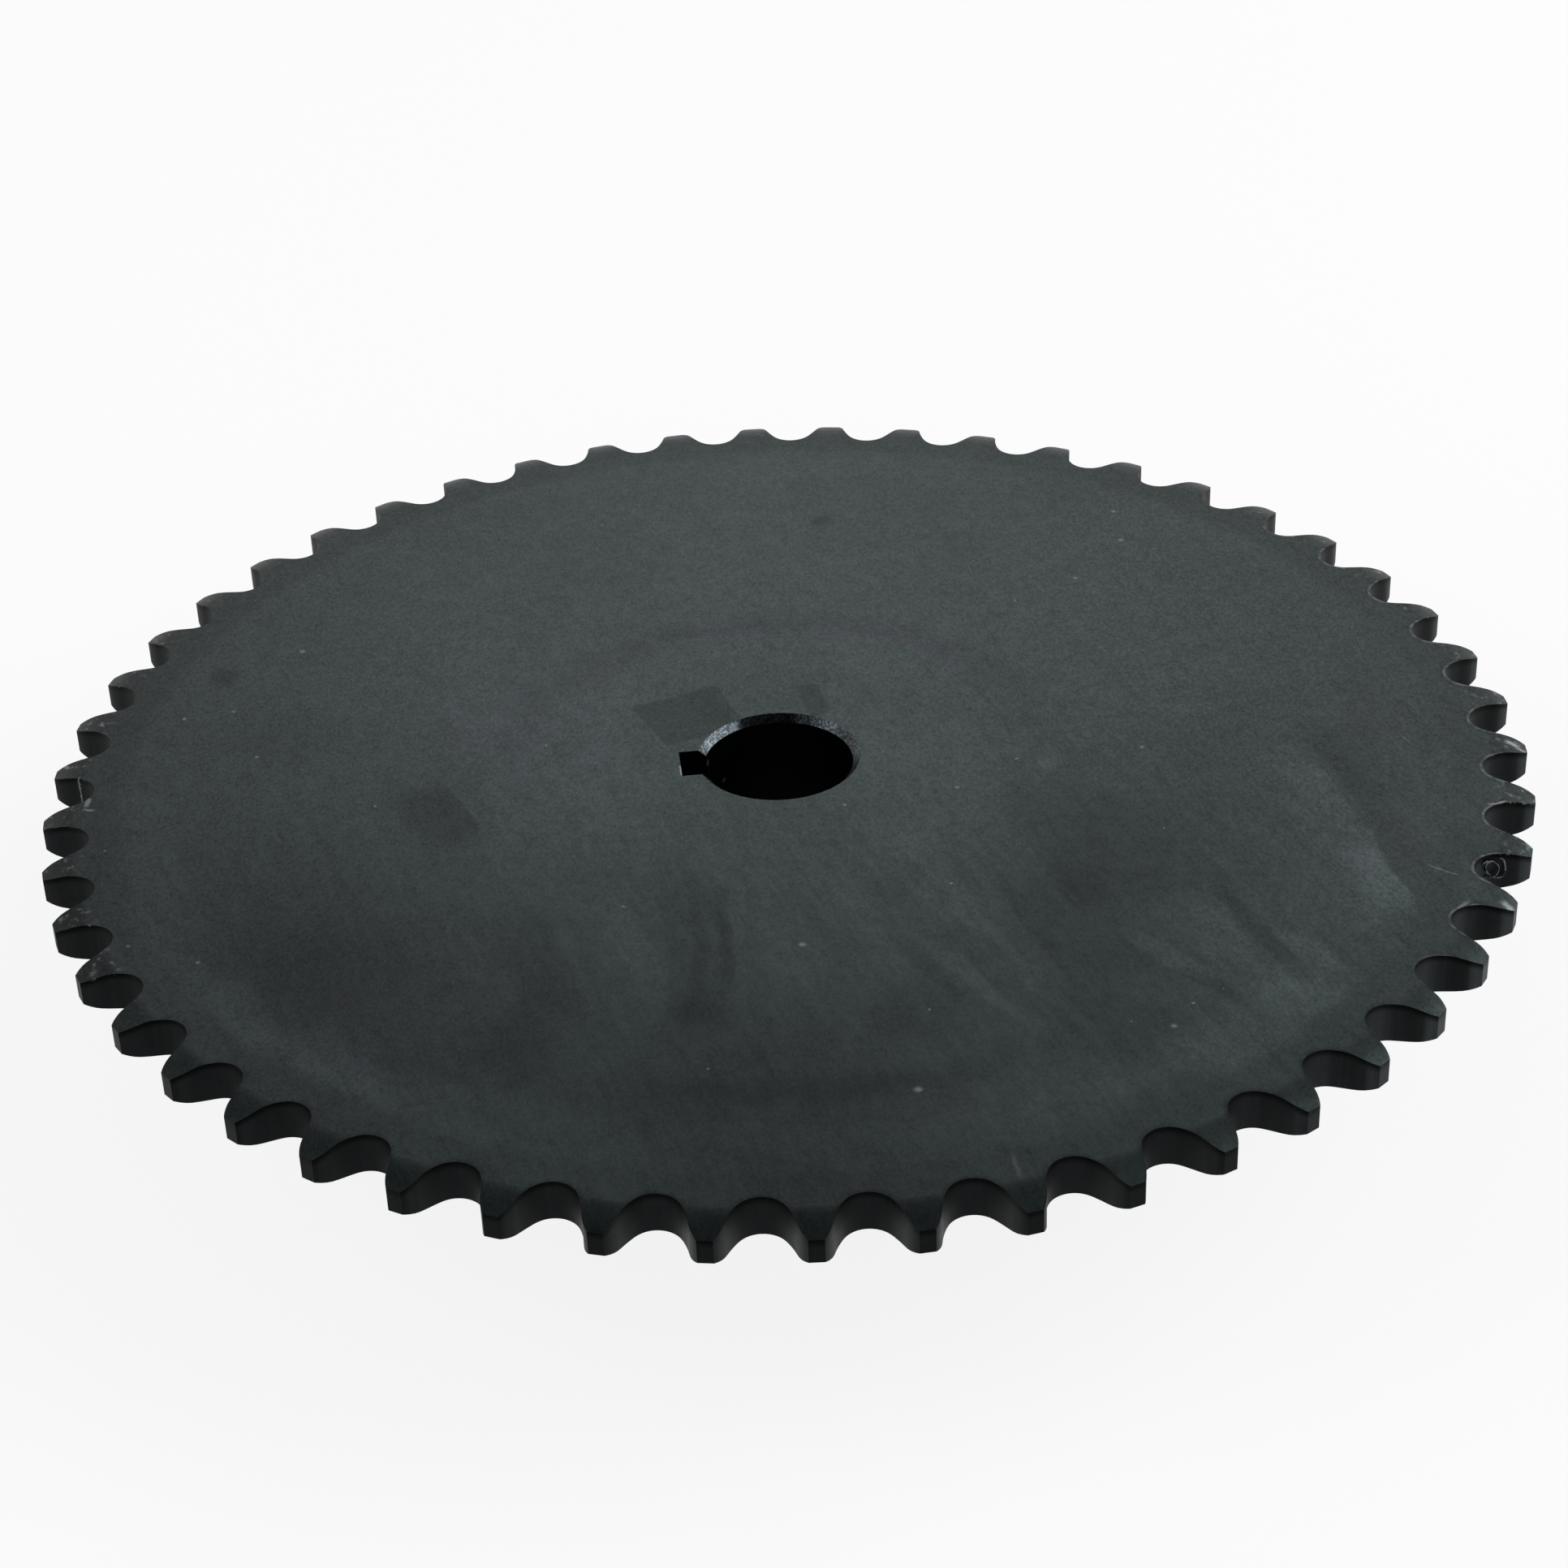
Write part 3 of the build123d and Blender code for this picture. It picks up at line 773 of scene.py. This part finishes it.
def build_thread(name, screw, outward, material):
    """The thread in a tapped hole, from its mouth in the hub down to the set screw's outer end.

    A closed sleeve: a plain outside that sits in the hole's wall, and a helical V thread inside.
    """
    low, high = (Vector(corner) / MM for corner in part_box(screw))
    centre = (low + high) / 2
    hole_radius = (high.z - low.z) / 2
    axis = Vector(outward)
    side = axis.cross(Vector((0, 0, 1)))
    start = max(abs(low.dot(axis)), abs(high.dot(axis)))
    end = HUB_RADIUS - HOLE_COUNTERSINK
    centre -= axis * centre.dot(axis)
    root = hole_radius - THREAD_WALL
    outside = hole_radius + THREAD_BURIED
    rows = round((end - start) / THREAD_PITCH * SAMPLES_PER_PITCH)
    angles = [2 * math.pi * step / SAMPLES_ROUND for step in range(SAMPLES_ROUND)]
    bm = bmesh.new()

    def ring(along, radii):
        """A ring of vertices around the hole's axis, with a radius for each angle."""
        around = []
        for angle, radius in zip(angles, radii):
            offset = side * math.cos(angle) * radius + Vector((0, 0, 1)) * math.sin(angle) * radius
            around.append(bm.verts.new((centre + axis * along + offset) * MM))
        return around

    def thread_radius(along, angle):
        turns = (along - start) / THREAD_PITCH - angle / (2 * math.pi)
        ridge = 1 - abs(2 * (turns % 1.0) - 1)
        ridge = min(1.0, THREAD_FLAT * ridge)
        lead_in = min(1.0, max(0.0, (end - along) / THREAD_DEPTH))
        return root - THREAD_DEPTH * ridge * lead_in

    stations = [start + (end - start) * row / rows for row in range(rows + 1)]
    rings = [ring(along, [thread_radius(along, angle) for angle in angles]) for along in stations]
    plain = [outside] * SAMPLES_ROUND
    rings += [ring(end, plain), ring(start, plain)]
    for one, other in zip(rings, rings[1:] + rings[:1]):
        for step in range(SAMPLES_ROUND):
            after = (step + 1) % SAMPLES_ROUND
            bm.faces.new((one[step], one[after], other[after], other[step]))
    bmesh.ops.recalc_face_normals(bm, faces=bm.faces)
    mesh = bpy.data.meshes.new(name)
    bm.to_mesh(mesh)
    bm.free()
    mesh.materials.append(material)
    thread = bpy.data.objects.new(name, mesh)
    bpy.context.scene.collection.objects.link(thread)
    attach(thread, "root")


def build_burr(material):
    """The curl of steel that the cutter left at the edge of a gap: a wire that runs in loops."""
    data = bpy.data.curves.new("edge_burr", "CURVE")
    data.dimensions = "3D"
    data.bevel_depth = BURR_WIRE_RADIUS * MM
    data.bevel_resolution = 2
    data.use_fill_caps = True
    line = data.splines.new("POLY")
    line.points.add(BURR_POINTS - 1)
    for index, point in enumerate(line.points):
        share = index / (BURR_POINTS - 1)
        angle = 2 * math.pi * BURR_TURNS * share + BURR_START
        # no two loops are alike
        swell = 1 + 0.18 * math.sin(2.3 * angle)
        x = BURR_ADVANCE * BURR_TURNS * (share - 0.5) + BURR_LOOP.x * swell * math.cos(angle)
        y = BURR_LOOP.y * math.cos(1.7 * angle)
        z = BURR_LOOP.z * swell * math.sin(angle)
        point.co = (*((BURR_CENTRE + Vector((x, y, z))) * MM), 1.0)
        point.radius = 0.75 + 0.35 * math.sin(3.1 * angle) ** 2
    data.materials.append(material)
    burr = bpy.data.objects.new("edge_burr", data)
    bpy.context.scene.collection.objects.link(burr)
    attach(burr, "root")


def floor_material():
    """Nearly white where it is seen, but for the object's shadow, and a plain pale floor to the light."""
    n = Nodes("pale_floor")
    path = n.new("ShaderNodeLightPath").outputs
    seen = n.largest(path["Is Camera Ray"], path["Is Glossy Ray"], path["Is Transmission Ray"])
    diffuse = n.new("ShaderNodeBsdfDiffuse", {"Color": FLOOR_COLOUR})
    white = n.new("ShaderNodeEmission", {"Color": WHITE, "Strength": 1.0})
    share = n.times(seen, 1 - FLOOR_SHADOW)
    mixed = n.new("ShaderNodeMixShader", {0: share, 1: diffuse.outputs[0], 2: white.outputs[0]})
    # clear from underneath, so that the part's underside can be looked at
    below = n.new("ShaderNodeNewGeometry").outputs["Backfacing"]
    clear = n.new("ShaderNodeBsdfTransparent")
    either = n.new("ShaderNodeMixShader", {0: below, 1: mixed.outputs[0], 2: clear.outputs[0]})
    n.link(either.outputs[0], n.output.inputs["Surface"])
    return n.block


def build_lamp(given):
    """A soft square lamp that looks at the sprocket; azimuth 0 is in front, 90 to the right."""
    a = math.radians(given.azimuth)
    e = math.radians(given.elevation)
    away = Vector((math.sin(a) * math.cos(e), -math.cos(a) * math.cos(e), math.sin(e)))
    data = bpy.data.lights.new(given.name, "AREA")
    data.shape = "SQUARE"
    data.size = given.size
    data.energy = given.power
    lamp = bpy.data.objects.new(given.name, data)
    lamp.location = away * given.distance
    lamp.rotation_mode = "QUATERNION"
    lamp.rotation_quaternion = away.to_track_quat("Z", "Y")
    bpy.context.scene.collection.objects.link(lamp)


def build_world():
    """A white studio that dims towards its ceiling, the same for light, camera and reflections."""
    n = Nodes("studio", bpy.data.worlds, "ShaderNodeOutputWorld")
    direction = n.new("ShaderNodeTexCoord").outputs["Generated"]
    height = n.new("ShaderNodeSeparateXYZ", {0: direction}).outputs["Z"]
    low = math.sin(math.radians(WHITE_UP_TO))
    high = math.sin(math.radians(CEILING_FROM))
    strength = n.ramp(height, low, high, 1.0, CEILING_STRENGTH)
    background = n.new("ShaderNodeBackground", {"Color": WHITE, "Strength": strength})
    n.link(background.outputs[0], n.output.inputs["Surface"])
    bpy.context.scene.world = n.block


def build_floor():
    mesh = bpy.data.meshes.new("floor")
    half = FLOOR_HALF_WIDTH
    z = -FLOOR_GAP
    corners = [(-half, -half, z), (half, -half, z), (half, half, z), (-half, half, z)]
    mesh.from_pydata(corners, [], [(0, 1, 2, 3)])
    mesh.materials.append(floor_material())
    floor = bpy.data.objects.new("floor", mesh)
    bpy.context.scene.collection.objects.link(floor)


def build_camera():
    data = bpy.data.cameras.new("camera")
    data.sensor_width = SENSOR_WIDTH
    data.lens = FOCAL_LENGTH_PX * SENSOR_WIDTH / IMAGE_SIZE
    data.shift_x = 0.5 - PRINCIPAL_X_PX / IMAGE_SIZE
    data.shift_y = PRINCIPAL_Y_PX / IMAGE_SIZE - 0.5
    data.clip_start = 10 * MM
    camera = bpy.data.objects.new("camera", data)
    a = math.radians(CAMERA_AZIMUTH)
    e = math.radians(CAMERA_ELEVATION)
    back = Vector((math.sin(a) * math.cos(e), -math.cos(a) * math.cos(e), math.sin(e)))
    camera.location = CAMERA_TARGET + back * CAMERA_DISTANCE
    upright = back.to_track_quat("Z", "Y").to_matrix()
    camera.rotation_mode = "QUATERNION"
    roll = Matrix.Rotation(math.radians(CAMERA_ROLL), 3, "Z")
    camera.rotation_quaternion = (upright @ roll).to_quaternion()
    bpy.context.scene.collection.objects.link(camera)
    bpy.context.scene.camera = camera


def dress(node, material):
    data = frame["nodes"][node].data
    data.materials.clear()
    data.materials.append(material)


black = blackened_steel()
screw = screw_steel()
dress("sprocket", black)
dress("keyway_set_screw", screw)
dress("side_set_screw", screw)
build_thread("keyway_screw_thread", "keyway_set_screw", (-1, 0, 0), black)
build_thread("side_screw_thread", "side_set_screw", (0, -1, 0), black)
build_burr(burr_steel())

build_world()
for lamp in LAMPS:
    build_lamp(lamp)
build_floor()
build_camera()
bpy.context.scene.view_settings.view_transform = "Standard"
